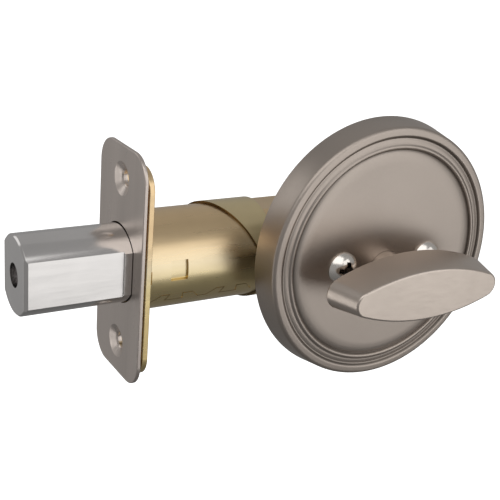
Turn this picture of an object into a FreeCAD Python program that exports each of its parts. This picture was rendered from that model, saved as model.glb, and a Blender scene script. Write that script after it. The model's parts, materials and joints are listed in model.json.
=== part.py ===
import FreeCAD, Part
import math
import os
from FreeCAD import Vector

# One-sided tubular deadbolt, bolt thrown and turn level, as it sits on a 35 mm door.
# The spindle runs along Y through the origin, the bolt along X, +Z is up.
# The bolt points to -X and the room side is -Y. All sizes are in millimetres.

# ---- latch: overall sizes ----
backset = 60.3               # door edge to spindle
backset_travel = 9.525       # extra backset when the barrel is drawn out
throw = 25.4
bolt_length = 37.7

# ---- bolt section ----
bolt_r = 9.5
head_flat = 7.7              # half width across the flats of the thrown part
body_flat = 8.0              # half width across the flats inside the guide
shoulder_out = 2.1           # shoulder stands this far in front of the faceplate
shoulder_slope = 0.5
end_hole_r = 2.9
end_hole_depth = 22.0
end_hole_chamfer = 0.7
saw_pin_recess = 3.5
saw_pin_length = 18.0
saw_pin_chamfer = 0.4
bolt_edge = 0.5

# ---- fits ----
running = 0.06               # radial running clearance
slide_gap = 0.3              # free space beside sliding strips
past = 1.0                   # cutting shapes run this far past the faces that they cut
near = 0.1                   # an edge this close to a level belongs to it

# ---- faceplate and back plate ----
plate_width = 25.4
plate_height = 57.15
plate_corner = 6.35
plate_thick = 1.0
plate_edge = 0.2
plate_gap = 0.3              # shadow gap round the back plate's raised land
back_height = 51.4
back_thick = 1.4
back_corner = 5.4
land_inset = 1.2
screw_spacing = 41.3
wood_screw_r = 2.25
countersink_r = 4.1
opening_gap = 0.3

# ---- barrel, guide and sleeve ----
neck_room = 0.7              # bolt to the inside of the neck
neck_wall = 0.8
barrel_wall = 0.94
barrel_end_gap = 0.7
barrel_rear_round = 0.56
sleeve_wall = 0.55
guide_length = 10.8
guide_to_neck = 2.8
window_start = 5.4           # from the barrel's front end
window_length = 4.4
window_low = -1.3
window_high = 3.5
window_gap = 0.2
lug_sink = 0.7
seam_width = 0.2
seam_depth = 0.35
seam_pitch = 14.6
seam_start = 1.4
seam_end_gap = 1.0
tab_notch = 0.5
tab_half = 1.6
sleeve_slant = 0.5           # rise of the sleeve's oblique front edge per radius
sleeve_mid = 32.6            # where the oblique edge crosses the bolt axis
sleeve_lead_angle = 143.0    # direction in which the edge reaches furthest forward
sleeve_lip = 1.1
sleeve_lip_round = 0.44

# ---- case ----
case_front = 25.5
case_wall = 0.9
case_front_wall = 1.1
case_flat_in = 0.8           # the flats lie this far inside the round
finger_end_room = 0.6        # link's finger to the end of the case's slot
case_end_land = 2.4          # end of the slot to the case's rear face
crank_way_gap = 0.4          # crank pin's end to the side of the slot
rivet_r = 1.3
rivet_front = (-19.6, 2.2)
rivet_rear = (17.6, 7.2)

# ---- hub, crank and drive ----
hub_r = 5.0
hub_end_gap = 0.3
bush_wall = 1.2
bush_flange = 1.0
bush_flange_thick = 0.8
arm_thick = 1.6
arm_half = 3.3
arm_root_r = 5.5
arm_gap = 0.4                # arm to link
crank_pin_r = 1.6
crank_pin_end = 0.3
crank_slot_side = 0.65       # takes up the crank's uneven travel
crank_slot_end = 0.6
link_thick = 2.0
link_top = 2.2               # below the bolt axis
link_bottom = 9.2
bar_top = 5.9
finger_wall = 1.6
finger_corner = 2.3
blade_behind_hub = 7.6
link_front_reach = 2.0
stem_thick = 1.8
stem_behind_hub = 6.6
stem_root = 7.8              # how far the stem reaches into the bolt's tail
stem_trim = 0.2
stem_rivet_r = 1.25
stem_rivet_in = 4.0
stem_corner = 1.5
adjuster_pin_r = 1.2
adjuster_head_r = 2.2
adjuster_head_thick = 1.2
adjuster_pin_in = 4.0
detent_collar_r = 6.6
detent_collar = (4.5, 8.0)
detent_flat = 0.6
leaf_gap = 0.2
leaf_thick = 0.4
leaf_half = 8.6

# ---- trim: rose, screws ----
door_thickness = 34.92
rose_r = 33.3
rose_depth = 7.2
rose_wall = 1.3
rose_raise = 3.5             # rose centre above the spindle
rose_edge_in = 1.0           # front edge inside the back edge
rose_edge_round = 0.8
groove_1_in = 4.1            # each groove's middle, in from the rose's back edge
groove_2_in = 7.0
groove_half = 0.35
groove_depth = 0.5
base_plate_thick = 1.2
trim_screw_x = 12.9
trim_screw_z = 1.7
trim_screw_r = 2.1
trim_screw_hole = 0.25
trim_screw_end = 20.0
screw_end_chamfer = 0.5
screw_head_r = 4.0
screw_head_high = 2.7
recess_arm = 2.3
recess_half = 0.45
recess_depth = 1.5
spacer_wall = 0.85
clamp_thick = 2.5
clamp_half_length = 17.0
clamp_low = -7.0
clamp_high = 5.6
clamp_thread_gap = 0.05
clamp_centre_r = 4.4
clamp_corner = 2.0

# ---- trim: thumbturn ----
neck_r = 4.6
neck_length = 8.8            # rose face to the back of the turn's head
head_depth = 8.8
head_back_half = (23.4, 8.0)
head_front_half = (20.7, 6.2)
head_tip_r = 2.6
head_round = 0.9
shaft_r = 3.9
shaft_behind = 5.76          # rose face to the shaft's end
turn_bush_wall = 0.94
turn_bush_flange = 1.6
turn_bush_flange_thick = 0.8
washer_thick = 0.6
washer_r = 6.2
washer_room = 0.3
clip_thick = 0.7
clip_depth = 0.7
clip_r = 5.2
clip_opening = 2.6
blade_half = (2.8, 0.8)
blade_gap = 0.08
blade_in_turn = 4.0
blade_end = 14.5
roll_pin_r = 0.8
roll_pin_from_end = 1.1

# ---- worked out from the sizes above ----
face_x = -backset
plate_back = face_x + plate_thick
back_front = plate_back + plate_gap
barrel_front = back_front + back_thick
bolt_tip = face_x - throw
bolt_tail = bolt_tip + bolt_length
neck_in = bolt_r + neck_room
neck_out = neck_in + neck_wall
barrel_in = neck_out + running
barrel_r = barrel_in + barrel_wall
sleeve_in = barrel_r + running
sleeve_r = sleeve_in + sleeve_wall
case_x0 = -case_front
barrel_rear = case_x0 - barrel_end_gap
neck_front = barrel_front + guide_length + guide_to_neck
case_flat = barrel_r - case_flat_in
cavity_flat = case_flat - case_wall
crank_r = throw / math.sqrt(2)
pin_x = -throw / 2
slot_half = crank_pin_r + crank_slot_side
finger_half = slot_half + finger_wall
case_slot_end = throw / 2 + finger_half + finger_end_room
case_x1 = case_slot_end + case_end_land
link_half = link_thick / 2
arm_in = link_half + arm_gap
arm_out = arm_in + arm_thick
case_slot_half = arm_out + crank_pin_end + crank_way_gap
link_mid = -(link_top + link_bottom) / 2
blade_rear = -(throw + blade_behind_hub)
stem_rear = -(throw + stem_behind_hub)
adjuster_x = stem_rear - adjuster_pin_in
stem_in = link_half + slide_gap
stem_out = stem_in + stem_thick
stem_low = -(link_bottom - stem_trim)
stem_high = -(link_top + stem_trim)
pocket_front = bolt_tail - stem_root
rose_back = -door_thickness / 2
rose_face = rose_back - rose_depth
rose_ceiling = rose_face + rose_wall
cavity_r = rose_r - rose_edge_in - rose_wall
head_back = rose_face - neck_length
head_front = head_back - head_depth
shaft_end = rose_face + shaft_behind
screw_hole_r = trim_screw_r + trim_screw_hole


def box(x0, x1, y0, y1, z0, z1):
    return Part.makeBox(x1 - x0, y1 - y0, z1 - z0, Vector(x0, y0, z0))


def rod_x(r, x0, x1, y=0.0, z=0.0):
    return Part.makeCylinder(r, x1 - x0, Vector(x0, y, z), Vector(1, 0, 0))


def rod_y(r, y0, y1, x=0.0, z=0.0):
    return Part.makeCylinder(r, y1 - y0, Vector(x, y0, z), Vector(0, 1, 0))


def cut(shape, *tools):
    for tool in tools:
        shape = shape.cut(tool)
    return shape


def fuse(shape, *others):
    for other in others:
        shape = shape.fuse(other)
    return shape.removeSplitter()


def tube_x(r_out, r_in, x0, x1):
    return rod_x(r_out, x0, x1).cut(rod_x(r_in, x0 - past, x1 + past))


def tube_y(r_out, r_in, y0, y1, x=0.0, z=0.0):
    return rod_y(r_out, y0, y1, x, z).cut(rod_y(r_in, y0 - past, y1 + past, x, z))


def flatted_rod(r, flat, x0, x1):
    """Round bar along X with a flat on each side, the bolt's section."""
    return rod_x(r, x0, x1).common(box(x0, x1, -flat, flat, -r, r))


def edges_along(shape, axis):
    """Straight edges of a shape that run along one axis."""
    found = []
    for edge in shape.Edges:
        if len(edge.Vertexes) == 2 and edge.Curve.TypeId == "Part::GeomLine":
            step = edge.Vertexes[1].Point - edge.Vertexes[0].Point
            if abs(step.normalize().dot(axis)) > 0.999:
                found.append(edge)
    return found


def edges_in_plane(shape, axis, level):
    """Edges that lie wholly in the plane across an axis at a level."""
    found = []
    for edge in shape.Edges:
        bb = edge.BoundBox
        low = (bb.XMin, bb.YMin, bb.ZMin)[axis]
        high = (bb.XMax, bb.YMax, bb.ZMax)[axis]
        if abs(low - level) < 1e-4 and abs(high - level) < 1e-4:
            found.append(edge)
    return found


def round_plate(x0, x1, half_width, half_height, corner):
    """Flat plate across X with rounded corners."""
    plate = box(x0, x1, -half_width, half_width, -half_height, half_height)
    return plate.makeFillet(corner, edges_along(plate, Vector(1, 0, 0)))


def wood_screw_holes():
    """Countersunk holes that pass through both plates."""
    holes = []
    depth = countersink_r - wood_screw_r
    for side in (-1, 1):
        z = side * screw_spacing / 2
        cone = Part.makeCone(countersink_r, wood_screw_r, depth, Vector(face_x, 0, z), Vector(1, 0, 0))
        hole = rod_x(wood_screw_r, face_x - past, barrel_front + past, 0, z)
        holes.append(cone.fuse(hole))
    return holes


def bolt_opening():
    return flatted_rod(bolt_r + opening_gap, body_flat + opening_gap, face_x - past, barrel_front + past)


def make_faceplate():
    plate = round_plate(face_x, plate_back, plate_width / 2, plate_height / 2, plate_corner)
    rim = edges_in_plane(plate, 0, face_x) + edges_in_plane(plate, 0, plate_back)
    plate = plate.makeFillet(plate_edge, rim)
    return cut(plate, bolt_opening(), *wood_screw_holes())


def make_back_plate():
    half_width = plate_width / 2
    half_height = back_height / 2
    plate = round_plate(back_front, barrel_front, half_width, half_height, back_corner)
    rim = edges_in_plane(plate, 0, back_front) + edges_in_plane(plate, 0, barrel_front)
    plate = plate.makeFillet(plate_edge, rim)
    land = round_plate(plate_back, back_front, half_width - land_inset, half_height - land_inset,
                       back_corner - land_inset)
    return cut(plate.fuse(land), bolt_opening(), *wood_screw_holes())


def around(shape, angle):
    """Turn about the bolt axis, from the room side towards the top."""
    turned = shape.copy()
    turned.rotate(Vector(0, 0, 0), Vector(1, 0, 0), -angle)
    return turned


def seam_groove(x0, angle0, x1, angle1):
    """One straight scratch of the rolled seam, laid on the barrel's surface."""
    run = x1 - x0
    rise = math.radians(angle1 - angle0) * barrel_r
    length = math.hypot(run, rise) + seam_width
    groove = box(-length / 2, length / 2, -seam_depth, past, -seam_width / 2, seam_width / 2)
    groove.rotate(Vector(0, 0, 0), Vector(0, 0, 1), 180)
    groove.rotate(Vector(0, 0, 0), Vector(0, 1, 0), -math.degrees(math.atan2(rise, run)))
    groove.translate(Vector((x0 + x1) / 2, -barrel_r, 0))
    return around(groove, (angle0 + angle1) / 2)


def dovetail_seam():
    """Interlocking dovetails of the seam: a repeating zigzag of (along, angle) points."""
    tooth = [(0.0, -36), (2.3, -26), (4.4, -26), (3.6, -36), (8.2, -36), (7.8, -26), (10.6, -26),
             (12.4, -36)]
    points = []
    start = barrel_front + seam_start
    while start < barrel_rear - seam_end_gap:
        points += [(start + along, angle) for along, angle in tooth]
        start += seam_pitch
    points = [point for point in points if point[0] < barrel_rear - seam_end_gap]
    return [seam_groove(*p, *q) for p, q in zip(points, points[1:])]


def make_front_barrel():
    tube = tube_x(barrel_r, barrel_in, barrel_front, barrel_rear)
    rear = [edge for edge in edges_in_plane(tube, 0, barrel_rear)
            if abs(edge.Curve.Radius - barrel_r) < 1e-3]
    tube = tube.makeFillet(min(barrel_rear_round, 0.8 * barrel_wall), rear)
    x0 = barrel_front + window_start
    window = box(x0, x0 + window_length, -barrel_r - past, 0, window_low, window_high)
    notches = box(barrel_front - past, barrel_front + tab_notch, -barrel_r - past, barrel_r + past,
                  -tab_half, tab_half)
    return cut(tube, window, notches, *dovetail_seam())


def make_bolt_guide():
    x1 = barrel_front + guide_length
    bush = rod_x(barrel_in, barrel_front, x1)
    x0 = barrel_front + window_start
    lug = box(x0 + window_gap, x0 + window_length - window_gap, -barrel_r, 0,
              window_low + window_gap, window_high - window_gap)
    lug = lug.common(rod_x(barrel_r - lug_sink, barrel_front, x1))
    bore = flatted_rod(bolt_r + running, body_flat + running, barrel_front - past, x1 + past)
    return cut(fuse(bush, lug), bore)


def make_bolt():
    shoulder = face_x - shoulder_out
    head = flatted_rod(bolt_r, head_flat, bolt_tip, shoulder)
    head = head.makeFillet(bolt_edge, edges_in_plane(head, 0, bolt_tip))
    body = flatted_rod(bolt_r, body_flat, shoulder, bolt_tail)
    body = body.makeChamfer(shoulder_slope, edges_along(body, Vector(0, 0, 1)))
    core = rod_x(bolt_r, shoulder - past, bolt_tail).common(
        box(shoulder - past, bolt_tail, -head_flat, head_flat, -bolt_r, bolt_r))
    body = body.fuse(core)
    end_hole = rod_x(end_hole_r, bolt_tip - past, bolt_tip + end_hole_depth)
    lead = Part.makeCone(end_hole_r + end_hole_chamfer, end_hole_r, end_hole_chamfer,
                         Vector(bolt_tip, 0, 0), Vector(1, 0, 0))
    pocket = box(pocket_front, bolt_tail + past, -link_half - slide_gap, stem_out,
                 -bolt_r - past, stem_high + stem_trim)
    rivet_hole = rod_y(stem_rivet_r, stem_in, body_flat + past, bolt_tail - stem_rivet_in, link_mid)
    return cut(fuse(head, body), end_hole, lead, pocket, rivet_hole)


def make_saw_pin():
    x0 = bolt_tip + saw_pin_recess
    pin = rod_x(end_hole_r - running, x0, x0 + saw_pin_length)
    return pin.makeChamfer(saw_pin_chamfer, edges_in_plane(pin, 0, x0))


def make_bolt_stem():
    strip = box(pocket_front, stem_rear, stem_in, stem_out, stem_low, stem_high)
    strip = strip.makeFillet(stem_corner, [edge for edge in edges_along(strip, Vector(0, 1, 0))
                                           if edge.BoundBox.XMin > stem_rear - near])
    rivet_hole = rod_y(stem_rivet_r, 0, stem_out + past, bolt_tail - stem_rivet_in, link_mid)
    pin_hole = rod_y(adjuster_pin_r, 0, stem_out + past, adjuster_x, link_mid)
    return cut(strip, rivet_hole, pin_hole)


def make_stem_rivet():
    rivet = rod_y(stem_rivet_r, stem_in, body_flat, bolt_tail - stem_rivet_in, link_mid)
    return rivet.common(flatted_rod(bolt_r, body_flat, bolt_tip, bolt_tail))


def make_adjuster_pin():
    head_face = -(link_half + slide_gap)
    pin = rod_y(adjuster_pin_r, head_face, stem_out, adjuster_x, link_mid)
    head = rod_y(adjuster_head_r, head_face - adjuster_head_thick, head_face, adjuster_x, link_mid)
    return fuse(pin, head)


def long_slot_x(x0, x1, half, z):
    """Slot through the link along X, with round ends centred at x0 and x1."""
    side = link_half + past
    ends = [rod_y(half, -side, side, x0, z), rod_y(half, -side, side, x1, z)]
    return fuse(box(x0, x1, -side, side, z - half, z + half), *ends)


def make_drive_link():
    front = bolt_tail - link_front_reach
    blade = box(front, blade_rear, -link_half, link_half, -link_bottom, -link_top)
    finger_low = -(crank_r + slot_half + finger_wall)
    bar = box(blade_rear - past, pin_x + finger_half, -link_half, link_half, -link_bottom, -bar_top)
    finger = box(pin_x - finger_half, pin_x + finger_half, -link_half, link_half, finger_low, -bar_top)
    finger = finger.makeFillet(min(finger_corner, 0.9 * finger_half),
                               [edge for edge in edges_along(finger, Vector(0, 1, 0))
                                if edge.BoundBox.ZMax < finger_low + near])
    slot_top = -(throw / 2 - crank_pin_r - crank_slot_end)
    side = link_half + past
    crank_slot = fuse(box(pin_x - slot_half, pin_x + slot_half, -side, side, -crank_r, slot_top),
                      rod_y(slot_half, -side, side, pin_x, -crank_r))
    pin_slot = long_slot_x(adjuster_x - backset_travel, adjuster_x, adjuster_pin_r + running, link_mid)
    return cut(fuse(blade, bar, finger), crank_slot, pin_slot)


def crank_arm(y0, y1):
    """Arm from the hub down to the crank pin, drawn hanging and then swung to the thrown side."""
    arm = fuse(rod_y(arm_root_r, y0, y1),
               box(-arm_half, arm_half, y0, y1, -crank_r, 0),
               rod_y(arm_half, y0, y1, 0, -crank_r))
    arm.rotate(Vector(0, 0, 0), Vector(0, 1, 0), 45)
    return arm


def make_hub():
    end = case_flat - hub_end_gap
    collar = rod_y(detent_collar_r, *detent_collar)
    flat = detent_collar_r - detent_flat
    collar = collar.common(box(-flat, flat, 0, detent_collar[1], -flat, flat))
    hub = fuse(rod_y(hub_r, -end, end), collar, crank_arm(arm_in, arm_out), crank_arm(-arm_out, -arm_in))
    half_x = blade_half[0] + blade_gap
    half_z = blade_half[1] + blade_gap
    slot = box(-half_x, half_x, -end - past, end + past, -half_z, half_z)
    pin_hole = rod_y(crank_pin_r, -arm_out - past, arm_out + past, pin_x, pin_x)
    return cut(hub, slot, pin_hole)


def make_crank_pin():
    end = arm_out + crank_pin_end
    return rod_y(crank_pin_r, -end, end, pin_x, pin_x)


def case_outline(x0, x1, r, flat):
    return rod_x(r, x0, x1).common(box(x0, x1, -flat, flat, -flat, flat))


def case_cavity():
    return case_outline(case_x0 + case_front_wall, case_x1 - case_wall, barrel_r - case_wall, cavity_flat)


def make_case():
    shell = case_outline(case_x0, case_x1, barrel_r, case_flat)
    side_y = barrel_r + past
    doorway = rod_x(neck_in, case_x0 - past, case_x0 + case_front_wall + past)
    crank_way = box(-case_slot_end, case_slot_end, -case_slot_half, case_slot_half, -side_y, 0)
    bush_hole = rod_y(hub_r + running + bush_wall, -side_y, side_y)
    screws = [rod_y(screw_hole_r, -side_y, side_y, side * trim_screw_x, trim_screw_z)
              for side in (-1, 1)]
    rivets = [rod_y(rivet_r, -side_y, side_y, *place) for place in (rivet_front, rivet_rear)]
    return cut(shell, case_cavity(), doorway, crank_way, bush_hole, *screws, *rivets)


def half_of_case(side):
    case = make_case()
    if side < 0:
        return case.common(box(case_x0, case_x1, -barrel_r, 0, -barrel_r, barrel_r))
    return case.common(box(case_x0, case_x1, 0, barrel_r, -barrel_r, barrel_r))


def make_case_rivets():
    outline = case_outline(case_x0, case_x1, barrel_r, case_flat)
    return [rod_y(rivet_r, -barrel_r, barrel_r, *place).common(outline)
            for place in (rivet_front, rivet_rear)]


def make_case_neck():
    return tube_x(neck_out, neck_in, neck_front, case_x0)


def make_adjuster_sleeve():
    lip_end = case_x0 + sleeve_lip
    ring = tube_x(sleeve_r, sleeve_in, -sleeve_mid - sleeve_slant * sleeve_r - past, case_x0)
    lip = rod_x(sleeve_r, case_x0, lip_end).cut(case_outline(case_x0, lip_end, barrel_r, case_flat))
    lead = math.radians(sleeve_lead_angle)
    normal = Vector(1, -sleeve_slant * math.cos(lead), sleeve_slant * math.sin(lead))
    reach = 4 * sleeve_r
    in_front = Part.makeCylinder(reach, reach, Vector(-sleeve_mid, 0, 0), -normal)
    sleeve = fuse(ring, lip)
    outer = [edge for edge in edges_in_plane(sleeve, 0, lip_end)
             if edge.Curve.TypeId == "Part::GeomCircle" and abs(edge.Curve.Radius - sleeve_r) < 1e-3]
    sleeve = sleeve.makeFillet(min(sleeve_lip_round, 0.8 * sleeve_wall), outer)
    return sleeve.cut(in_front)


def make_hub_bushes():
    bore = hub_r + running
    bushes = []
    for side in (-1, 1):
        wall = sorted((side * cavity_flat, side * case_flat))
        flange = sorted((side * (cavity_flat - bush_flange_thick), side * cavity_flat))
        flange_r = bore + bush_wall + bush_flange
        ring = tube_y(bore + bush_wall, bore, *wall)
        lip = tube_y(flange_r, bore, *flange).common(case_cavity())
        bushes.append(fuse(ring, lip))
    return bushes


def make_detent_leaf():
    low = detent_collar_r + leaf_gap
    high = low + leaf_thick
    y0, y1 = detent_collar
    strip = box(-leaf_half, leaf_half, y0, y1, low, high)
    legs = [box(-leaf_half, -leaf_half + leaf_thick, y0, y1, low, barrel_r),
            box(leaf_half - leaf_thick, leaf_half, y0, y1, low, barrel_r)]
    return fuse(strip, *legs).common(case_cavity())


def make_screw_spacers():
    return [tube_y(screw_hole_r + spacer_wall, screw_hole_r, -barrel_r, barrel_r,
                   side * trim_screw_x, trim_screw_z).common(case_cavity()) for side in (-1, 1)]


def make_clamp_bar():
    bar = box(-clamp_half_length, clamp_half_length, case_flat, case_flat + clamp_thick,
              clamp_low, clamp_high)
    bar = bar.makeFillet(clamp_corner, edges_along(bar, Vector(0, 1, 0)))
    threads = [rod_y(trim_screw_r + clamp_thread_gap, 0, case_flat + clamp_thick + past,
                     side * trim_screw_x, trim_screw_z) for side in (-1, 1)]
    return cut(bar, rod_y(clamp_centre_r, 0, case_flat + clamp_thick + past), *threads)


def spun(points):
    """Solid turned about the rose's own axis from (radius, depth in front of the back) points."""
    corners = [Vector(r, rose_back - depth, rose_raise) for r, depth in points]
    face = Part.Face(Part.makePolygon(corners + corners[:1]))
    return face.revolve(Vector(0, 0, rose_raise), Vector(0, 1, 0), 360)


def rose_groove(inset):
    middle = rose_r - inset
    return spun([(middle - groove_half, rose_depth + past), (middle + groove_half, rose_depth + past),
                 (middle + groove_half, rose_depth - groove_depth),
                 (middle - groove_half, rose_depth - groove_depth)])


def trim_holes():
    return [rod_y(screw_hole_r, rose_face - past, 0, side * trim_screw_x, trim_screw_z) for side in (-1, 1)]


def make_rose():
    front_r = rose_r - rose_edge_in
    body = spun([(0, 0), (rose_r, 0), (front_r, rose_depth), (0, rose_depth)])
    body = body.makeFillet(rose_edge_round, edges_in_plane(body, 1, rose_face))
    cavity = spun([(0, -past), (cavity_r, -past), (cavity_r, rose_depth - rose_wall),
                   (0, rose_depth - rose_wall)])
    spindle_hole = rod_y(neck_r + running + turn_bush_wall, rose_face - past, rose_back)
    return cut(body, cavity, rose_groove(groove_1_in), rose_groove(groove_2_in), spindle_hole, *trim_holes())


def make_rose_base_plate():
    disc = spun([(0, 0), (cavity_r, 0), (cavity_r, base_plate_thick), (0, base_plate_thick)])
    return cut(disc, rod_y(washer_r + washer_room, rose_face, 0), *trim_holes())


def lens_wire(half_length, half_width, tip_r, y):
    """Outline of two shallow arcs joined by round tips, in the plane across Y."""
    arc_r = ((half_length - tip_r) ** 2 + half_width ** 2 - tip_r ** 2) / (2 * (half_width - tip_r))
    tip_x = half_length - tip_r
    drop = arc_r - half_width
    touch_x = tip_x + tip_r * tip_x / (arc_r - tip_r)
    touch_z = tip_r * drop / (arc_r - tip_r)
    top = Part.Arc(Vector(-touch_x, y, touch_z), Vector(0, y, half_width), Vector(touch_x, y, touch_z))
    right = Part.Arc(Vector(touch_x, y, touch_z), Vector(half_length, y, 0), Vector(touch_x, y, -touch_z))
    low = Part.Arc(Vector(touch_x, y, -touch_z), Vector(0, y, -half_width), Vector(-touch_x, y, -touch_z))
    left = Part.Arc(Vector(-touch_x, y, -touch_z), Vector(-half_length, y, 0),
                    Vector(-touch_x, y, touch_z))
    return Part.Wire([arc.toShape() for arc in (top, right, low, left)])


def roll_pin_bar():
    """Bar across the shaft's end, longer than the shaft is thick."""
    half = shaft_r + past
    return Part.makeCylinder(roll_pin_r, 2 * half, Vector(0, shaft_end - roll_pin_from_end, -half))


def make_thumbturn():
    back = lens_wire(*head_back_half, head_tip_r, head_back)
    front = lens_wire(*head_front_half, head_tip_r, head_front)
    head = Part.makeLoft([back, front], True, True)
    head = head.makeFillet(head_round, edges_in_plane(head, 1, head_front))
    clip_face = rose_ceiling + turn_bush_flange_thick + running + washer_thick
    groove = tube_y(shaft_r + past, shaft_r - clip_depth, clip_face, clip_face + clip_thick)
    neck_end = rose_ceiling + turn_bush_flange_thick
    turn = fuse(head, rod_y(neck_r, head_back - past, neck_end), rod_y(shaft_r, neck_end - past, shaft_end))
    slot = box(-blade_half[0], blade_half[0], rose_face - blade_in_turn, 0, -blade_half[1], blade_half[1])
    return cut(turn, groove, slot, roll_pin_bar())


def make_turn_bushing():
    bore = neck_r + running
    ring = tube_y(bore + turn_bush_wall, bore, rose_face, rose_ceiling)
    flange = tube_y(bore + turn_bush_wall + turn_bush_flange, bore, rose_ceiling,
                    rose_ceiling + turn_bush_flange_thick)
    return fuse(ring, flange)


def make_spring_washer():
    y0 = rose_ceiling + turn_bush_flange_thick + running
    return tube_y(washer_r, shaft_r, y0, y0 + washer_thick)


def make_retaining_clip():
    y0 = rose_ceiling + turn_bush_flange_thick + running + washer_thick
    ring = tube_y(clip_r, shaft_r - clip_depth, y0, y0 + clip_thick)
    mouth = box(-clip_opening / 2, clip_opening / 2, y0 - past, y0 + clip_thick + past, 0, clip_r + past)
    return ring.cut(mouth)


def make_tailpiece():
    blade = box(-blade_half[0], blade_half[0], rose_face - blade_in_turn, blade_end,
                -blade_half[1], blade_half[1])
    return cut(blade, roll_pin_bar())


def make_tailpiece_pin():
    return roll_pin_bar().common(rod_y(shaft_r, rose_face, 0))


def make_mounting_screw(x):
    ball_r = (screw_head_r ** 2 + screw_head_high ** 2) / (2 * screw_head_high)
    ball = Part.makeSphere(ball_r, Vector(x, rose_face - screw_head_high + ball_r, trim_screw_z))
    head = ball.common(rod_y(screw_head_r, rose_face - screw_head_high, rose_face, x, trim_screw_z))
    shank = rod_y(trim_screw_r, rose_face - near, trim_screw_end, x, trim_screw_z)
    shank = shank.makeChamfer(screw_end_chamfer, edges_in_plane(shank, 1, trim_screw_end))
    top = rose_face - screw_head_high
    y0 = top - past
    y1 = top + recess_depth
    cross = fuse(box(x - recess_arm, x + recess_arm, y0, y1,
                     trim_screw_z - recess_half, trim_screw_z + recess_half),
                 box(x - recess_half, x + recess_half, y0, y1,
                     trim_screw_z - recess_arm, trim_screw_z + recess_arm))
    return cut(fuse(head, shank), cross)


nodes = {
    "faceplate": make_faceplate(),
    "back_plate": make_back_plate(),
    "front_barrel": make_front_barrel(),
    "bolt_guide": make_bolt_guide(),
    "bolt": make_bolt(),
    "saw_pin": make_saw_pin(),
    "bolt_stem": make_bolt_stem(),
    "stem_rivet": make_stem_rivet(),
    "adjuster_pin": make_adjuster_pin(),
    "drive_link": make_drive_link(),
    "hub": make_hub(),
    "crank_pin": make_crank_pin(),
    "hub_bushes": Part.makeCompound(make_hub_bushes()),
    "detent_leaf": make_detent_leaf(),
    "case_inside_half": half_of_case(-1),
    "case_outside_half": half_of_case(1),
    "case_rivets": Part.makeCompound(make_case_rivets()),
    "case_neck": make_case_neck(),
    "adjuster_sleeve": make_adjuster_sleeve(),
    "screw_spacers": Part.makeCompound(make_screw_spacers()),
    "clamp_bar": make_clamp_bar(),
    "rose": make_rose(),
    "rose_base_plate": make_rose_base_plate(),
    "turn_bushing": make_turn_bushing(),
    "mounting_screws": Part.makeCompound([make_mounting_screw(side * trim_screw_x) for side in (-1, 1)]),
    "thumbturn": make_thumbturn(),
    "spring_washer": make_spring_washer(),
    "retaining_clip": make_retaining_clip(),
    "tailpiece": make_tailpiece(),
    "tailpiece_pin": make_tailpiece_pin(),
}

os.makedirs("parts", exist_ok=True)
for name, shape in nodes.items():
    if not shape.isValid() or shape.Volume <= 0:
        raise ValueError("bad solid: " + name)
    shape.exportStep("parts/" + name + ".step")
    print(name, len(shape.Solids), round(shape.Volume, 1))
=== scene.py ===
import bmesh
import bpy
import json
import math
from mathutils import Matrix, Vector, geometry


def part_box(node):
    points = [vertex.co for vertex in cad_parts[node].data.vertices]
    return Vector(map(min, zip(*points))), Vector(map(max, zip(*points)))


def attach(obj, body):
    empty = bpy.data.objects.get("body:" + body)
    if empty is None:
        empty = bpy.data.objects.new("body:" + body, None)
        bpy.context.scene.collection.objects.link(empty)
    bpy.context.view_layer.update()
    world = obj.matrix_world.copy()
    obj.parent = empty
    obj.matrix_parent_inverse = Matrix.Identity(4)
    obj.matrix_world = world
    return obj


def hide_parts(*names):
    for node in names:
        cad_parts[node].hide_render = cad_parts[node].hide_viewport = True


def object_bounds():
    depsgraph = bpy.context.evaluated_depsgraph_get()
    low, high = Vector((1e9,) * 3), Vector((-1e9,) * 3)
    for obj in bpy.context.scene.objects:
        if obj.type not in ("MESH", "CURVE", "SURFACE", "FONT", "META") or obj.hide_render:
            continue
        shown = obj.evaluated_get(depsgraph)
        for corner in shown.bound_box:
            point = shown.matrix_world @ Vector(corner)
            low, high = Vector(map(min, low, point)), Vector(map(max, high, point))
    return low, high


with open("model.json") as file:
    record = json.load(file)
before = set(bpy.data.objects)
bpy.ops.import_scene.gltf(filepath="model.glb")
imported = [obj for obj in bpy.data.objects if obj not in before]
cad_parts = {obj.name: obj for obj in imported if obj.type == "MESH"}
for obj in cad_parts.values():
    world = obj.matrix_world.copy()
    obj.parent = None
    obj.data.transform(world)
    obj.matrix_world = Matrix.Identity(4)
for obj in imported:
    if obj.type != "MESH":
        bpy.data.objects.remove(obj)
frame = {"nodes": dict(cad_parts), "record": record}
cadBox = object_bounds()
nodes = frame["nodes"]
mm = 0.001
mergeGap = 0.000002             # metres; vertices this close are one after a cut


# sizes below are in millimetres, and addPiece turns them into metres
def boxOf(node):
    low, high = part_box(node)
    return Vector(low) / mm, Vector(high) / mm


def addPiece(name, bm):
    bmesh.ops.scale(bm, vec=(mm, mm, mm), verts=bm.verts)
    mesh = bpy.data.meshes.new(name)
    bm.to_mesh(mesh)
    bm.free()
    piece = bpy.data.objects.new(name, mesh)
    bpy.context.collection.objects.link(piece)
    return piece


def keepShape(piece):
    shape = piece.evaluated_get(bpy.context.evaluated_depsgraph_get())
    mesh = bpy.data.meshes.new_from_object(shape)
    piece.modifiers.clear()
    piece.data = mesh


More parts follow.
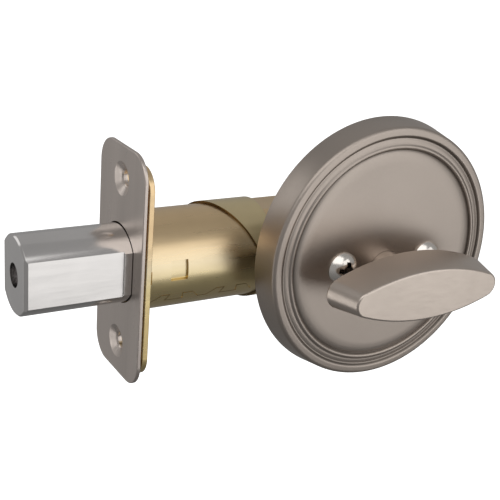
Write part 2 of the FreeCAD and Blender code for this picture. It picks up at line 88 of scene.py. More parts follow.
def carve(piece, operation, *tools):
    for tool in tools:
        modifier = piece.modifiers.new("carve", "BOOLEAN")
        modifier.operation = operation
        modifier.solver = "EXACT"
        modifier.material_mode = "TRANSFER"
        modifier.object = tool
    keepShape(piece)
    for tool in tools:
        bpy.data.objects.remove(tool)
    bm = bmesh.new()
    bm.from_mesh(piece.data)
    bmesh.ops.remove_doubles(bm, verts=bm.verts, dist=mergeGap)
    bmesh.ops.dissolve_degenerate(bm, edges=bm.edges, dist=mergeGap)
    bm.to_mesh(piece.data)
    bm.free()


def softenEdges(piece, width, angle=30, segments=3):
    modifier = piece.modifiers.new("soften", "BEVEL")
    modifier.width = width * mm
    modifier.segments = segments
    modifier.limit_method = "ANGLE"
    modifier.angle_limit = math.radians(angle)
    modifier.harden_normals = False
    keepShape(piece)


def finishPiece(piece, body, slot, *replaced, look=None, sharpAngle=28, weighted=True):
    piece.data.shade_smooth()
    piece.data.set_sharp_from_angle(angle=math.radians(sharpAngle))
    if not any(piece.data.materials):
        piece.data.materials.clear()
        piece.data.materials.append(finish[look or slot])
    if weighted:
        modifier = piece.modifiers.new("evenShade", "WEIGHTED_NORMAL")
        modifier.keep_sharp = True
    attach(piece, body)
    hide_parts(*replaced)
    print("made:", piece.name)


def arc(centre, radius, fromAngle, toAngle, steps):
    turns = [math.radians(fromAngle + (toAngle - fromAngle) * i / steps) for i in range(steps + 1)]
    return [(centre[0] + radius * math.cos(turn), centre[1] + radius * math.sin(turn)) for turn in turns]


def softLine(points, steps):
    flat = [Vector((x, y, 0)) for x, y in points]
    ends = [flat[0] * 2 - flat[1], *flat, flat[-1] * 2 - flat[-2]]
    line = [flat[0]]
    for before, start, end, after in zip(ends, ends[1:], ends[2:], ends[3:]):
        lead = start + (end - before) / 6
        trail = end - (after - start) / 6
        line += geometry.interpolate_bezier(start, lead, trail, end, steps + 1)[1:]
    return [(point.x, point.y) for point in line]


def placeAlong(axis, at):
    # from a shape along Z to the same shape along X or Y, through the point at
    turns = {"x": Matrix.Rotation(math.radians(90), 4, "Y"), "y": Matrix.Rotation(math.radians(-90), 4, "X"),
             "z": Matrix.Identity(4)}
    return Matrix.Translation(at) @ turns[axis]


def lathe(name, outline, axis, at, steps):
    # outline is a list of (radius, distance along the axis); both ends lie on the axis
    bm = bmesh.new()
    verts = [bm.verts.new((radius, 0, along)) for radius, along in outline]
    edges = [bm.edges.new(pair) for pair in zip(verts, verts[1:])]
    bmesh.ops.spin(bm, geom=verts + edges, cent=(0, 0, 0), axis=(0, 0, 1), angle=math.tau, steps=steps,
                   use_merge=True)
    bmesh.ops.remove_doubles(bm, verts=bm.verts, dist=0.004)
    bmesh.ops.recalc_face_normals(bm, faces=bm.faces)
    bmesh.ops.transform(bm, matrix=placeAlong(axis, at), verts=bm.verts)
    return addPiece(name, bm)


def rod(axis, radius, length, at, steps=48, endRadius=None):
    bm = bmesh.new()
    bmesh.ops.create_cone(bm, cap_ends=True, segments=steps, radius1=radius,
                          radius2=radius if endRadius is None else endRadius, depth=length)
    bmesh.ops.translate(bm, vec=(0, 0, length / 2), verts=bm.verts)
    bmesh.ops.transform(bm, matrix=placeAlong(axis, at), verts=bm.verts)
    return addPiece("tool", bm)


def block(low, high):
    low, high = Vector(low), Vector(high)
    bm = bmesh.new()
    bmesh.ops.create_cube(bm, size=1)
    bmesh.ops.scale(bm, vec=high - low, verts=bm.verts)
    bmesh.ops.translate(bm, vec=(low + high) / 2, verts=bm.verts)
    return addPiece("tool", bm)


def roundedSlab(name, halfWidth, halfHeight, corner, back, front, edge):
    # a plate across X with rounded corners; its front is the -X face, softened by edge
    bm = bmesh.new()
    bmesh.ops.create_cube(bm, size=1)
    bmesh.ops.scale(bm, vec=(back - front, halfWidth * 2, halfHeight * 2), verts=bm.verts)
    bmesh.ops.translate(bm, vec=((front + back) / 2, 0, 0), verts=bm.verts)
    standing = [e for e in bm.edges if abs(e.verts[0].co.x - e.verts[1].co.x) > 0.01]
    bmesh.ops.bevel(bm, geom=standing, offset=corner, affect="EDGES", segments=16, profile=0.5, material=-1)
    rim = [e for e in bm.edges if max(abs(v.co.x - front) for v in e.verts) < 0.001]
    bmesh.ops.bevel(bm, geom=rim, offset=edge, affect="EDGES", segments=3, profile=0.5, material=-1)
    rear = [e for e in bm.edges if max(abs(v.co.x - back) for v in e.verts) < 0.001]
    bmesh.ops.bevel(bm, geom=rear, offset=edge / 2, affect="EDGES", segments=1, profile=0.5, material=-1)
    return addPiece(name, bm)


def addNode(material, kind, values, links):
    node = material.node_tree.nodes.new(kind)
    for key, value in values.items():
        if key in node.inputs:
            node.inputs[key].default_value = value
        else:
            setattr(node, key, value)
    for key, source in links.items():
        material.node_tree.links.new(source, node.inputs[key])
    return node


def stretchedNoise(material, scale, stretch, detail=3.0, roughness=0.55):
    place = addNode(material, "ShaderNodeTexCoord", {}, {})
    mapping = addNode(material, "ShaderNodeMapping", {"Scale": stretch},
                      {"Vector": place.outputs["Object"]})
    grain = addNode(material, "ShaderNodeTexNoise",
                    {"Scale": scale, "Detail": detail, "Roughness": roughness},
                    {"Vector": mapping.outputs["Vector"]})
    return grain.outputs["Fac"]


def colourRamp(material, source, stops):
    ramp = addNode(material, "ShaderNodeValToRGB", {}, {"Fac": source})
    elements = ramp.color_ramp.elements
    while len(elements) < len(stops):
        elements.new(0.5)
    for element, (place, colour) in zip(elements, stops):
        element.position = place
        element.color = (*colour, 1)
    return ramp.outputs["Color"]


def valueRange(material, source, low, high):
    node = addNode(material, "ShaderNodeMapRange",
                   {"From Min": 0.3, "From Max": 0.7, "To Min": low, "To Max": high}, {"Value": source})
    return node.outputs["Result"]


def grooveShadeMask(material, centre, rings):
    # painted shade: dark lines round the Y axis through centre, in the rose's grooves; rings is a list of
    # (radius, half width, tone)
    place = addNode(material, "ShaderNodeTexCoord", {}, {})
    flat = addNode(material, "ShaderNodeMapping", {"Location": (-centre[0] * mm, 0, -centre[1] * mm),
                                                   "Scale": (1, 0, 1)}, {"Vector": place.outputs["Object"]})
    reach = addNode(material, "ShaderNodeVectorMath", {"operation": "LENGTH"}, {0: flat.outputs["Vector"]})
    reachMax = max(radius for radius, width, tone in rings) * 1.3
    share = addNode(material, "ShaderNodeMapRange", {"From Min": 0.0, "From Max": reachMax * mm},
                    {"Value": reach.outputs["Value"]})
    stops = []
    for radius, width, tone in rings:
        for step, grey in ((-width, 1), (-width / 4, tone), (width / 4, tone), (width, 1)):
            stops.append(((radius + step) / reachMax, (grey, grey, grey)))
    return colourRamp(material, share.outputs["Result"], stops)


# a colour ramp by object height; on the barrel it carries the chromate's hue shift together with a painted
# highlight and painted shade
def heightTintAndShading(material, low, high, stops):
    place = addNode(material, "ShaderNodeTexCoord", {}, {})
    split = addNode(material, "ShaderNodeSeparateXYZ", {}, {"Vector": place.outputs["Object"]})
    share = addNode(material, "ShaderNodeMapRange", {"From Min": low * mm, "From Max": high * mm},
                    {"Value": split.outputs["Z"]})
    return colourRamp(material, share.outputs["Result"], stops)


def edgeShadow(material, colour):
    # painted shadow: darkens the cut edges that face -X, as the shade in the gap under the sleeve's edge
    place = addNode(material, "ShaderNodeTexCoord", {}, {})
    split = addNode(material, "ShaderNodeSeparateXYZ", {}, {"Vector": place.outputs["Normal"]})
    share = addNode(material, "ShaderNodeMapRange", {"From Min": -1.0, "From Max": 1.0},
                    {"Value": split.outputs["X"]})
    return colourRamp(material, share.outputs["Result"], [(0.12, colour), (0.3, (1, 1, 1))])


def multiply(material, first, second):
    node = addNode(material, "ShaderNodeMix", {"data_type": "RGBA", "blend_type": "MULTIPLY"}, {})
    node.inputs[0].default_value = 1.0
    material.node_tree.links.new(first, node.inputs[6])
    material.node_tree.links.new(second, node.inputs[7])
    return node.outputs[2]


def makeFinish(name, values):
    material = bpy.data.materials.new(name)
    material.use_nodes = True
    shader = material.node_tree.nodes["Principled BSDF"]
    shader.inputs["Metallic"].default_value = values.get("metal", 1.0)
    shader.inputs["Coat Weight"].default_value = values.get("coat", 0.0)
    shader.inputs["Coat Roughness"].default_value = coatRoughness
    cloud = stretchedNoise(material, values["cloudScale"], values.get("cloudStretch", (1, 1, 1)), 4.0)
    dark, mid, light = ([channel * tone for channel in values["colour"]] for tone in values["tones"])
    tone = colourRamp(material, cloud, [(0.30, dark), (0.52, mid), (0.72, light)])
    # the rose's rings are painted shade in its grooves
    if "rings" in values:
        low, high = boxOf("rose")
        middle = ((low.x + high.x) / 2, (low.z + high.z) / 2)
        tone = multiply(material, tone, grooveShadeMask(material, middle, values["rings"]))
    # hue by height, with a painted highlight across the middle and painted shade low down
    if "tintAndShading" in values:
        tone = multiply(material, tone, heightTintAndShading(material, *values["tintAndShading"]))
    # painted shadow on the edges that face -X
    if "edgeShadow" in values:
        tone = multiply(material, tone, edgeShadow(material, values["edgeShadow"]))
    material.node_tree.links.new(tone, shader.inputs["Base Color"])
    brush = stretchedNoise(material, values["brushScale"], values["brushStretch"], 5.0, 0.6)
    rough = valueRange(material, brush, *values["rough"])
    material.node_tree.links.new(rough, shader.inputs["Roughness"])
    bump = addNode(material, "ShaderNodeBump", {"Strength": values["bump"], "Distance": values["bumpDepth"]},
                   {"Height": brush})
    material.node_tree.links.new(bump.outputs["Normal"], shader.inputs["Normal"])
    return material


coatRoughness = 0.2
alongX, alongZ, even = (0.06, 1, 1), (1, 1, 0.06), (1, 1, 1)        # how the brushing is stretched
# yellow zinc by height on the barrel: partly the chromate's own hue shift, partly a painted highlight across
# the middle band and painted shade along the bottom
zincTintAndShading = (-12, 12, ((0.05, (0.93, 0.88, 0.74)), (0.40, (0.97, 0.97, 0.88)), (0.60, (1.0, 1.03, 1.2)),
                      (0.78, (0.97, 0.91, 0.95)), (0.98, (1.0, 0.90, 0.90))))
finishValues = {
    "satin_nickel": {"colour": (0.56, 0.487, 0.43), "tones": (0.95, 1.0, 1.04), "cloudScale": 40,
                     "brushScale": 1500, "brushStretch": even, "rough": (0.42, 0.50), "bump": 0.12,
                     "bumpDepth": 0.00003},
    # the same satin nickel as satin_nickel, as a darker copy: painted shade on the rose
    "roseNickelShaded": {"colour": (0.50, 0.435, 0.383), "tones": (0.95, 1.0, 1.04), "cloudScale": 40,
                   "brushScale": 1500, "brushStretch": even, "rough": (0.36, 0.42), "bump": 0.12,
                   "bumpDepth": 0.00003,
                   # painted shade in the rose's grooves: (radius, half width, tone)
                   "rings": ((26.62, 0.42, 0.40), (27.9, 0.3, 0.80), (29.75, 0.40, 0.38))},
    # the same satin nickel as satin_nickel, as a lighter copy: painted light on the thumbturn
    "turnNickelLit": {"colour": (0.66, 0.575, 0.505), "tones": (0.97, 1.0, 1.03), "cloudScale": 50,
                   "brushScale": 1400, "brushStretch": (0.2, 1, 1), "rough": (0.28, 0.36), "bump": 0.12,
                   "bumpDepth": 0.00003},
    "plateNickel": {"colour": (0.70, 0.62, 0.563), "tones": (0.90, 1.0, 1.06), "cloudScale": 90,
                    "cloudStretch": (1, 1, 0.15), "brushScale": 900, "brushStretch": alongZ,
                    "rough": (0.26, 0.38), "bump": 0.3, "bumpDepth": 0.00004},
    # yellow_zinc takes the height ramp: chromate hue with a painted highlight and painted shade
    "yellow_zinc": {"colour": (0.86, 0.70, 0.40), "tones": (0.90, 1.0, 1.06), "cloudScale": 45,
                    "brushScale": 500, "brushStretch": alongX, "rough": (0.24, 0.36), "bump": 0.2,
                    "bumpDepth": 0.00004, "coat": 0.4,
                    "tintAndShading": zincTintAndShading},
    # sleeveZinc carries a painted shadow on its edges facing -X
    "sleeveZinc": {"colour": (0.84, 0.69, 0.40), "tones": (0.86, 0.96, 1.02), "cloudScale": 60,
                   "brushScale": 500, "brushStretch": alongX, "rough": (0.26, 0.40), "bump": 0.2,
                   "bumpDepth": 0.00004, "coat": 0.3, "edgeShadow": (0.16, 0.12, 0.06)},
    "bright_steel": {"colour": (0.77, 0.745, 0.725), "tones": (0.96, 1.0, 1.03), "cloudScale": 80,
                     "brushScale": 700, "brushStretch": (0.08, 1, 1), "rough": (0.12, 0.2), "bump": 0.12,
                     "bumpDepth": 0.00003},
    "plain_steel": {"colour": (0.52, 0.50, 0.47), "tones": (0.82, 1.0, 1.14), "cloudScale": 70,
                    "brushScale": 600, "brushStretch": (0.1, 1, 1), "rough": (0.28, 0.45), "bump": 0.2,
                    "bumpDepth": 0.00004},
    "spring_steel": {"colour": (0.40, 0.40, 0.43), "tones": (0.78, 1.0, 1.16), "cloudScale": 120,
                     "brushScale": 800, "brushStretch": (0.2, 1, 1), "rough": (0.2, 0.35), "bump": 0.15,
                     "bumpDepth": 0.00003},
    "hub_zinc": {"colour": (0.55, 0.55, 0.54), "tones": (0.85, 1.0, 1.12), "cloudScale": 150,
                 "brushScale": 900, "brushStretch": even, "rough": (0.4, 0.55), "bump": 0.35,
                 "bumpDepth": 0.00005},
    "white_nylon": {"metal": 0.0, "colour": (0.80, 0.79, 0.76), "tones": (0.93, 1.0, 1.05),
                    "cloudScale": 90, "brushScale": 900, "brushStretch": even, "rough": (0.45, 0.6),
                    "bump": 0.2, "bumpDepth": 0.00003},
    "nickel_screw": {"colour": (0.90, 0.85, 0.79), "tones": (0.95, 1.0, 1.04), "cloudScale": 150,
                     "brushScale": 900, "brushStretch": even, "rough": (0.17, 0.24), "bump": 0.1,
                     "bumpDepth": 0.00002},
    "recessShadow": {"colour": (0.13, 0.115, 0.10), "tones": (0.7, 1.0, 1.5), "cloudScale": 900,
                     "brushScale": 1500, "brushStretch": even, "rough": (0.18, 0.4), "bump": 0.6,
                     "bumpDepth": 0.00008},
}
finish = {name: makeFinish(name, values) for name, values in finishValues.items()}
nodeLooks = {"adjuster_sleeve": "sleeveZinc", "turn_bushing": "roseNickelShaded"}
for part in frame["record"]["subparts"]:
    node = nodes[part["node"]]
    node.data.materials.clear()
    node.data.materials.append(finish[nodeLooks.get(part["node"], part["material_slot"])])
print("finishes made:", len(finish))


def floorPaper():
    material = bpy.data.materials.new("floorPaper")
    material.use_nodes = True
    shader = material.node_tree.nodes["Principled BSDF"]
    grain = stretchedNoise(material, 12, (1, 1, 1))
    tone = colourRamp(material, grain, [(0.2, (0.93, 0.93, 0.93)), (0.8, (0.96, 0.96, 0.96))])
    material.node_tree.links.new(tone, shader.inputs["Base Color"])
    shader.inputs["Roughness"].default_value = 1.0
    shader.inputs["Emission Color"].default_value = (1, 1, 1, 1)
    shader.inputs["Emission Strength"].default_value = 1.0
    return material


cameraView = {
    "place": (-149.451, -203.013, 88.038),
    "back": (-0.49205, -0.79683, 0.35062),      # from the target to the camera
    "roll": 4.8679,
    "lens": 71.77,
    "sensor": 36,
}


def addCamera():
    back = Vector(cameraView["back"]).normalized()
    right = Vector((0, 0, 1)).cross(back).normalized()
    up = back.cross(right)
    roll = math.radians(cameraView["roll"])
    rolledRight = right * math.cos(roll) + up * math.sin(roll)
    rolledUp = up * math.cos(roll) - right * math.sin(roll)
    turn = Matrix((rolledRight, rolledUp, back)).transposed().to_4x4()
    data = bpy.data.cameras.new("camera")
    data.lens = cameraView["lens"]
    data.sensor_width = cameraView["sensor"]
    data.clip_start = 0.01
    camera = bpy.data.objects.new("camera", data)
    bpy.context.collection.objects.link(camera)
    camera.matrix_world = Matrix.Translation(Vector(cameraView["place"]) * mm) @ turn
    bpy.context.scene.camera = camera


studio = {
    "aim": (-0.025, 0.0, 0.0),
    "softboxes": {              # direction from the lock, distance, width and height, brightness
        "frontPanel": {"towards": (0.46, -0.83, 0.13), "away": 0.60, "size": (0.52, 0.85), "bright": 0.80},
        "overhead": {"towards": (-0.45, -0.62, 1.0), "away": 0.70, "size": (0.80, 0.62), "bright": 0.9},
        "backFill": {"towards": (-0.62, 0.72, 0.42), "away": 0.70, "size": (0.36, 0.42), "bright": 0.60},
        "leftCard": {"towards": (-0.95, 0.30, -0.28), "away": 0.60, "size": (0.22, 0.5), "bright": 0.8},
        "topFill": {"towards": (0.45, 0.62, 0.75), "away": 0.70, "size": (0.6, 0.6), "bright": 0.05},
        "lowFill": {"towards": (-0.50, 0.80, -0.38), "away": 0.70, "size": (0.4, 0.4), "bright": 0.06},
    },
    "surround": ((0.0, 0.13), (0.22, 0.20), (0.42, 0.30), (1.0, 0.31)),     # grey from below to above
    "floorDrop": 300,
    "floorSide": 14000,
}


def addSoftbox(name, values):
    data = bpy.data.lights.new(name, "AREA")
    data.shape = "RECTANGLE"
    data.size, data.size_y = values["size"]
    data.energy = values["bright"] * math.pi * data.size * data.size_y
    box = bpy.data.objects.new(name, data)
    bpy.context.collection.objects.link(box)
    box.visible_camera = False
    towards = Vector(values["towards"]).normalized()
    turn = towards.to_track_quat("Z", "Y").to_matrix().to_4x4()
    box.matrix_world = Matrix.Translation(Vector(studio["aim"]) + towards * values["away"]) @ turn


def addStudio():
    for name, values in studio["softboxes"].items():
        addSoftbox(name, values)
    world = bpy.data.worlds.new("studio")
    world.use_nodes = True
    place = addNode(world, "ShaderNodeTexCoord", {}, {})
    split = addNode(world, "ShaderNodeSeparateXYZ", {}, {"Vector": place.outputs["Generated"]})
    height = addNode(world, "ShaderNodeMapRange", {"From Min": -1.0, "From Max": 1.0},
                     {"Value": split.outputs["Z"]})
    grey = colourRamp(world, height.outputs["Result"], [(at, (tone,) * 3) for at, tone in studio["surround"]])
    light = addNode(world, "ShaderNodeLightPath", {}, {})
    sky = addNode(world, "ShaderNodeMix", {"data_type": "RGBA"}, {0: light.outputs["Is Camera Ray"]})
    world.node_tree.links.new(grey, sky.inputs[6])
    sky.inputs[7].default_value = (1, 1, 1, 1)
    world.node_tree.links.new(sky.outputs[2], world.node_tree.nodes["Background"].inputs["Color"])
    bpy.context.scene.world = world
    bpy.context.scene.view_settings.view_transform = "Standard"
    bm = bmesh.new()
    bmesh.ops.create_grid(bm, x_segments=4, y_segments=4, size=studio["floorSide"] / 2)
    bmesh.ops.translate(bm, verts=bm.verts, vec=(0, 0, cadBox[0][2] / mm - studio["floorDrop"]))
    floor = addPiece("floor", bm)
    floor.visible_glossy = False
    floor.visible_diffuse = False
    floor.data.materials.append(floorPaper())


addCamera()
addStudio()
print("camera and studio ready")


rose = {
    "rimTaper": 1.0,            # the wall leans in by this much over its depth
    "rimRound": 1.05,
    "backRound": 0.25,
    "cavityRadius": 31.0,
    "wall": 1.3,
    "fieldEdge": 23.6,          # radius where the flat field starts to fall away
    # the rings: (in from the rim, below the face)
    "rings": ((9.0, 0.03), (8.1, 0.12), (7.3, 0.32), (6.85, 0.55), (6.7, 0.56), (6.45, 0.30), (6.2, 0.06),
              (5.95, 0.0), (5.7, 0.05), (5.45, 0.22), (5.2, 0.34), (4.8, 0.36), (4.35, 0.46), (4.0, 0.58),
              (3.75, 0.54), (3.45, 0.26), (3.15, 0.04), (2.9, 0.0), (2.5, 0.02), (2.1, 0.05)),
    "bushingRadius": 5.6,
    "screwHoleRadius": 2.35,
    "steps": 180,
}


def makeRose():
    low, high = boxOf("rose")
    radius = (high.x - low.x) / 2
    centreZ = (low.z + high.z) / 2
    depth = high.y - low.y                      # distances below run back from the face
    frontRadius = radius - rose["rimTaper"]
    rings = softLine([(rose["fieldEdge"], 0)] + [(radius - inset, drop) for inset, drop in rose["rings"]], 4)
    rounding = rose["rimRound"]
    rimEdge = arc((frontRadius - rounding, rounding + 0.05), rounding, -80, 0, 10)
    backRound = rose["backRound"]
    backEdge = arc((radius - backRound, depth - backRound), backRound, 0, 90, 3)
    outline = [(0, 0), (10, 0), (20, 0), (rose["fieldEdge"] - 0.3, 0), *rings, *rimEdge, *backEdge,
               (rose["cavityRadius"], depth), (rose["cavityRadius"], rose["wall"]), (0, rose["wall"])]
    piece = lathe("rosePlate", outline, "y", (0, low.y, centreZ), rose["steps"])
    screwLow, screwHigh = boxOf("mounting_screws")
    headRadius = (screwHigh.z - screwLow.z) / 2
    screwX, screwZ = screwHigh.x - headRadius, (screwLow.z + screwHigh.z) / 2
    holes = [rod("y", rose["screwHoleRadius"], depth, (side * screwX, low.y - 1, screwZ)) for side in (-1, 1)]
    holes.append(rod("y", rose["bushingRadius"], depth, (0, low.y - 1, 0), 64))
    carve(piece, "DIFFERENCE", *holes)
    finishPiece(piece, "trim", "satin_nickel", "rose", look="roseNickelShaded", weighted=False)


makeRose()


turn = {
    "headDepth": 8.8,
    "backHalf": (23.4, 8.0),
    "frontHalf": (20.7, 6.2),
    "backTip": 3.9,
    "frontTip": 3.1,
    "edge": 0.45,
    "neckRadius": 4.6,
    "neckBehindFace": 2.0,
    "shaftRadius": 3.9,
    "bladeSlot": (5.6, 1.6),
    "bladeSlotEnd": 28.66,
    "pinRadius": 0.8,
    "pinAt": 20.0,
    "clipGroove": (21.2, 21.9, 0.7),    # start, end and depth
    "shoulderEdge": 0.2,
    "endEdge": 0.4,
    "neckOverlap": 2,           # the shaft starts this far inside the head
    "tipSteps": 22,
    "sideSteps": 64,
}


def lensLoop(bm, half, tip, y):
    length, height = half
    big = ((length - tip) ** 2 + height ** 2 - tip ** 2) / (2 * (height - tip))
    lean = math.atan2(big - height, length - tip)
    vert = bm.verts.new((length - tip + tip * math.cos(lean), y, -tip * math.sin(lean)))
    tipTurn, sideTurn = (2 * lean, turn["tipSteps"]), (math.pi - 2 * lean, turn["sideSteps"])
    for centre, (angle, steps) in (((length - tip, 0), tipTurn), ((0, height - big), sideTurn),
                                   ((tip - length, 0), tipTurn), ((0, big - height), sideTurn)):
        swept = bmesh.ops.spin(bm, geom=[vert], cent=(centre[0], y, centre[1]), axis=(0, -1, 0),
                               angle=angle, steps=steps)
        vert = next(item for item in swept["geom_last"] if isinstance(item, bmesh.types.BMVert))


def makeThumbturn():
    low, high = boxOf("thumbturn")
    headBack = low.y + turn["headDepth"]
    bm = bmesh.new()
    lensLoop(bm, turn["frontHalf"], turn["frontTip"], low.y)
    lensLoop(bm, turn["backHalf"], turn["backTip"], headBack)
    bmesh.ops.remove_doubles(bm, verts=bm.verts, dist=0.001)
    bmesh.ops.bridge_loops(bm, edges=bm.edges[:])
    bmesh.ops.holes_fill(bm, edges=bm.edges[:], sides=0)
    bmesh.ops.recalc_face_normals(bm, faces=bm.faces)
    rims = [e for e in bm.edges if abs(e.verts[0].co.y - e.verts[1].co.y) < 0.001]
    bmesh.ops.bevel(bm, geom=rims, offset=turn["edge"], affect="EDGES", segments=4, profile=0.5, material=-1)
    head = addPiece("turnHandle", bm)
    face = boxOf("rose")[0].y
    start = headBack - turn["neckOverlap"]
    shoulderEdge, endEdge = turn["shoulderEdge"], turn["endEdge"]
    r, s = turn["neckRadius"], turn["shaftRadius"]
    grooveStart, grooveEnd, grooveDepth = turn["clipGroove"]
    shoulder = face + turn["neckBehindFace"]
    outline = [(0, 0), (r, 0), (r, shoulder - start - shoulderEdge), (r - shoulderEdge, shoulder - start),
               (s, shoulder - start),
               (s, -grooveEnd - start), (s - grooveDepth, -grooveEnd - start),
               (s - grooveDepth, -grooveStart - start), (s, -grooveStart - start),
               (s, high.y - start - endEdge), (s - endEdge, high.y - start), (0, high.y - start)]
    shaft = lathe("shaft", outline, "y", (0, start, 0), 72)
    carve(head, "UNION", shaft)
    halfWide, halfThick = turn["bladeSlot"][0] / 2, turn["bladeSlot"][1] / 2
    slot = block((-halfWide, -turn["bladeSlotEnd"], -halfThick), (halfWide, high.y + 1, halfThick))
    pinHole = rod("z", turn["pinRadius"], 2 * s + 2, (0, -turn["pinAt"], -s - 1), 24)
    carve(head, "DIFFERENCE", slot, pinHole)
    finishPiece(head, "turn", "satin_nickel", "thumbturn", look="turnNickelLit")


makeThumbturn()


screw = {
    "headRadius": 4.0,
    "headHigh": 2.7,
    "headBand": 0.35,           # straight band under the dome
    "shankRadius": 2.1,
    "rootRadius": 1.72,
    "threadFrom": 6.0,
    "pitch": 0.79,
    "recessReach": 2.9,
    "recessHalf": 0.6,
    "recessDepth": 1.95,
    "recessBase": 0.9,
    "recessTurn": 8,            # degrees
    "secondTurn": -14,          # the far screw is turned by this, in degrees
    "domeSteps": 14,
    "threadSteps": 28,
    "headEdge": 0.12,
    "neckFillet": 0.3,
    "runOut": 0.4,
    "tipLength": 0.9,
    "tipTaper": 0.5,
    "threadOverlap": 0.05,
}


def recessTool(frontY):
    # four tapered wings on a pointed core
    wings = []
    for quarter in (0, 90):
        bm = bmesh.new()
        bmesh.ops.create_cone(bm, cap_ends=True, segments=4, depth=screw["recessDepth"],
                              radius1=screw["recessReach"] * math.sqrt(2),
                              radius2=screw["recessBase"] * math.sqrt(2))
        bmesh.ops.rotate(bm, matrix=Matrix.Rotation(math.radians(45), 3, "Z"), verts=bm.verts)
        for vert in bm.verts:
            vert.co.y = math.copysign(screw["recessHalf"], vert.co.y)
        lean = math.radians(quarter + screw["recessTurn"])
        bmesh.ops.rotate(bm, matrix=Matrix.Rotation(lean, 3, "Z"), verts=bm.verts)
        middle = (0, frontY + screw["recessDepth"] / 2, 0)
        bmesh.ops.transform(bm, matrix=placeAlong("y", middle), verts=bm.verts)
        wings.append(addPiece("wing", bm))
    core = rod("y", screw["recessHalf"] * 2.6, screw["recessDepth"] * 1.05, (0, frontY, 0), 16, 0.25)
    for tool in (*wings, core):
        tool.data.materials.append(finish["recessShadow"])
    return [*wings, core]


def thread(start, end):
    pitch, crest, root = screw["pitch"], screw["shankRadius"], screw["rootRadius"]
    steps = screw["threadSteps"]
    turns = math.ceil((end - start) / pitch) + 1
    bm = bmesh.new()
    profile = ((root, 0.0), (crest, 0.34), (crest, 0.46), (root, 0.8), (root, 1.0))
    verts = [bm.verts.new((radius, 0, (along - 1) * pitch)) for radius, along in profile]
    edges = [bm.edges.new(pair) for pair in zip(verts, verts[1:])]
    bmesh.ops.spin(bm, geom=verts + edges, cent=(0, 0, 0), axis=(0, 0, 1), dvec=(0, 0, pitch / steps),
                   angle=math.tau * turns, steps=steps * turns)
    bmesh.ops.remove_doubles(bm, verts=bm.verts, dist=0.001)
    for level, outwards in ((0, -1), (end - start, 1)):
        bmesh.ops.bisect_plane(bm, geom=bm.verts[:] + bm.edges[:] + bm.faces[:], plane_co=(0, 0, level),
                               plane_no=(0, 0, outwards), clear_outer=True)
    bmesh.ops.holes_fill(bm, edges=bm.edges[:], sides=0)
    bmesh.ops.recalc_face_normals(bm, faces=bm.faces)
    bmesh.ops.transform(bm, matrix=placeAlong("y", (0, start, 0)), verts=bm.verts)
    return addPiece("thread", bm)


def makeScrews():
    low, high = boxOf("mounting_screws")
    seat = low.y + screw["headHigh"]
    r, band, h = screw["headRadius"], screw["headBand"], screw["headHigh"] - screw["headBand"]
    ball = (r * r + h * h) / (2 * h)
    sweep = math.degrees(math.asin(r / ball)) if h < ball else 90
    leans = [math.radians(sweep * i / screw["domeSteps"]) for i in range(screw["domeSteps"] + 1)]
    dome = [(ball * math.sin(lean), ball - ball * math.cos(lean)) for lean in leans]
    shank = screw["threadFrom"] - low.y
    crest, root = screw["shankRadius"], screw["rootRadius"]
    edge, fillet = screw["headEdge"], screw["neckFillet"]
    outline = [*dome, (r, h + band - edge), (r - edge, h + band), (crest + fillet, h + band),
               (crest, h + band + fillet), (crest, shank - screw["runOut"]), (root, shank), (0, shank)]
    piece = lathe("trimScrews", outline, "y", (0, low.y, 0), 56)
    piece.data.materials.append(finish["nickel_screw"])
    carve(piece, "DIFFERENCE", *recessTool(low.y))
    softenEdges(piece, 0.05, 40, 2)
    tipLength, overlap = screw["tipLength"], screw["threadOverlap"]
    taper = screw["tipTaper"]
    tipOutline = [(0, 0), (root, 0), (root, tipLength - taper), (root - taper, tipLength), (0, tipLength)]
    tip = lathe("tip", tipOutline, "y", (0, high.y - tipLength, 0), screw["threadSteps"])
    bm = bmesh.new()
    for part in (piece, thread(screw["threadFrom"] - overlap, high.y - tipLength + overlap), tip):
        bm.from_mesh(part.data)
        if part is not piece:
            bpy.data.objects.remove(part)
    screwX, screwZ = high.x - r, (low.z + high.z) / 2
    turned = bmesh.ops.duplicate(bm, geom=bm.verts[:] + bm.edges[:] + bm.faces[:])
    copy = [item for item in turned["geom"] if isinstance(item, bmesh.types.BMVert)]
    first = [vert for vert in bm.verts if vert not in set(copy)]
    bmesh.ops.rotate(bm, matrix=Matrix.Rotation(math.radians(screw["secondTurn"]), 3, "Y"), verts=copy)
    bmesh.ops.translate(bm, vec=Vector((-screwX, 0, screwZ)) * mm, verts=first)
    bmesh.ops.translate(bm, vec=Vector((screwX, 0, screwZ)) * mm, verts=copy)
    bm.to_mesh(piece.data)
    bm.free()
    finishPiece(piece, "trim", "nickel_screw", "mounting_screws", weighted=False)


makeScrews()


boltLook = {
    "radius": 9.5,
    "frontFlat": 7.7,
    "bodyFlat": 8.0,
    "shoulderAt": -62.4,
    "shoulderSlope": 0.5,
    "tipChamfer": 0.4,
    "flatChamfer": 0.8,
    "edge": 0.16,
    "holeRadius": 2.9,
    "holeChamfer": 0.7,
    "holeDepth": 22.0,
    "tailChamfer": 0.4,
    "pocketFront": -55.9,
    "pocketAcross": (1.1, 3.3),
    "pocketUp": (-9.6, -2.2),
}


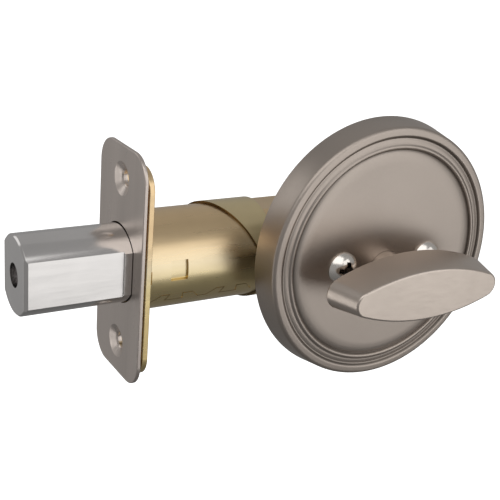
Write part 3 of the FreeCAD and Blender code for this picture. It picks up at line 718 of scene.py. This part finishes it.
def makeBolt():
    low, high = boxOf("bolt")
    length = high.x - low.x
    r, tip, tail = boltLook["radius"], boltLook["tipChamfer"], boltLook["tailChamfer"]
    outline = [(0, 0), (r - tip, 0), (r, tip), (r, length - tail), (r - tail, length), (0, length)]
    piece = lathe("deadBolt", outline, "x", (low.x, 0, 0), 120)
    body, front = boltLook["bodyFlat"], boltLook["frontFlat"]
    carve(piece, "INTERSECT", block((low.x - 1, -body, -r - 1), (high.x + 1, body, r + 1)))
    slabs = []
    for side in (-1, 1):
        bm = bmesh.new()
        bmesh.ops.create_cube(bm, size=2)
        for vert in bm.verts:
            inner = vert.co.y * side < 0
            rear = boltLook["shoulderAt"] + (0 if inner else boltLook["shoulderSlope"] * 3)
            vert.co = (rear if vert.co.x > 0 else low.x - 1, side * (front if inner else front + 3),
                       vert.co.z * (r + 1))
        slabs.append(addPiece("slab", bm))
    chamfer, size = boltLook["flatChamfer"], 30
    for side in (-1, 1):
        outwards = Vector((-1, side, 0)).normalized()
        bm = bmesh.new()
        bmesh.ops.create_cube(bm, size=size)
        bmesh.ops.rotate(bm, matrix=Matrix.Rotation(math.radians(45), 3, "Z"), verts=bm.verts)
        corner = Vector((low.x + chamfer / 2, side * (front - chamfer / 2), 0))
        bmesh.ops.translate(bm, vec=corner + outwards * size / 2, verts=bm.verts)
        slabs.append(addPiece("corner", bm))
    carve(piece, "DIFFERENCE", *slabs)
    softenEdges(piece, boltLook["edge"], 32, 2)
    mouth = boltLook["holeRadius"] + boltLook["holeChamfer"]
    (inner, outer), (bottom, top) = boltLook["pocketAcross"], boltLook["pocketUp"]
    carve(piece, "DIFFERENCE",
          rod("x", boltLook["holeRadius"], boltLook["holeDepth"] + 1, (low.x - 1, 0, 0), 48),
          rod("x", mouth, boltLook["holeChamfer"] * 2, (low.x - boltLook["holeChamfer"], 0, 0), 48,
              boltLook["holeRadius"] - boltLook["holeChamfer"]),
          block((boltLook["pocketFront"], inner, bottom), (high.x + 1, outer, top)))
    finishPiece(piece, "bolt", "bright_steel", "bolt")


makeBolt()


plate = {
    "corner": 6.35,
    "edge": 0.28,
    "screwZ": 20.65,
    "screwRadius": 2.25,
    "sinkRadius": 4.1,
    "openingGap": 0.3,
    "dimple": (2.2, 1.85, 1.3),         # outer and inner radius, and reach behind the plate
}


def makeFaceplate():
    low, high = boxOf("faceplate")
    thick = high.x - low.x
    piece = roundedSlab("facePlate", high.y, high.z, plate["corner"], high.x, low.x, plate["edge"])
    gap = plate["openingGap"]
    opening = rod("x", boltLook["radius"] + gap, thick + 2, (low.x - 1, 0, 0), 96)
    flat = boltLook["bodyFlat"] + gap
    carve(opening, "INTERSECT", block((low.x - 2, -flat, -15), (high.x + 2, flat, 15)))
    tools = [opening]
    for side in (-1, 1):
        at = side * plate["screwZ"]
        tools.append(rod("x", plate["screwRadius"], thick + 2, (low.x - 1, 0, at), 48))
        slope = (plate["sinkRadius"] - plate["screwRadius"]) / thick
        tools.append(rod("x", plate["sinkRadius"] + slope * 0.3, thick + 0.3, (low.x - 0.3, 0, at), 64,
                         plate["screwRadius"]))
    carve(piece, "DIFFERENCE", *tools)
    outer, inner, reach = plate["dimple"]
    dimples = []
    for side in (-1, 1):
        bm = bmesh.new()
        bmesh.ops.create_circle(bm, segments=48, radius=plate["screwRadius"])
        rim = bm.edges[:]
        for radius, along in ((inner, 0.35), (inner, reach), (outer, reach), (outer, 0)):
            ring = bmesh.ops.extrude_edge_only(bm, edges=rim)["geom"]
            verts = [item for item in ring if isinstance(item, bmesh.types.BMVert)]
            rim = [item for item in ring if isinstance(item, bmesh.types.BMEdge)]
            size = radius / math.hypot(verts[0].co.x, verts[0].co.y)
            bmesh.ops.scale(bm, vec=(size, size, 1), verts=verts)
            for vert in verts:
                vert.co.z = along
        bmesh.ops.recalc_face_normals(bm, faces=bm.faces)
        bmesh.ops.transform(bm, matrix=placeAlong("x", (high.x, 0, side * plate["screwZ"])), verts=bm.verts)
        dimples.append(addPiece("dimple", bm))
    bm = bmesh.new()
    for part in (piece, *dimples):
        bm.from_mesh(part.data)
    for part in dimples:
        bpy.data.objects.remove(part)
    bmesh.ops.remove_doubles(bm, verts=bm.verts, dist=0.00001)
    bm.to_mesh(piece.data)
    bm.free()
    finishPiece(piece, "barrel", "satin_nickel", "faceplate", look="plateNickel")


makeFaceplate()
print("detailed pieces made")
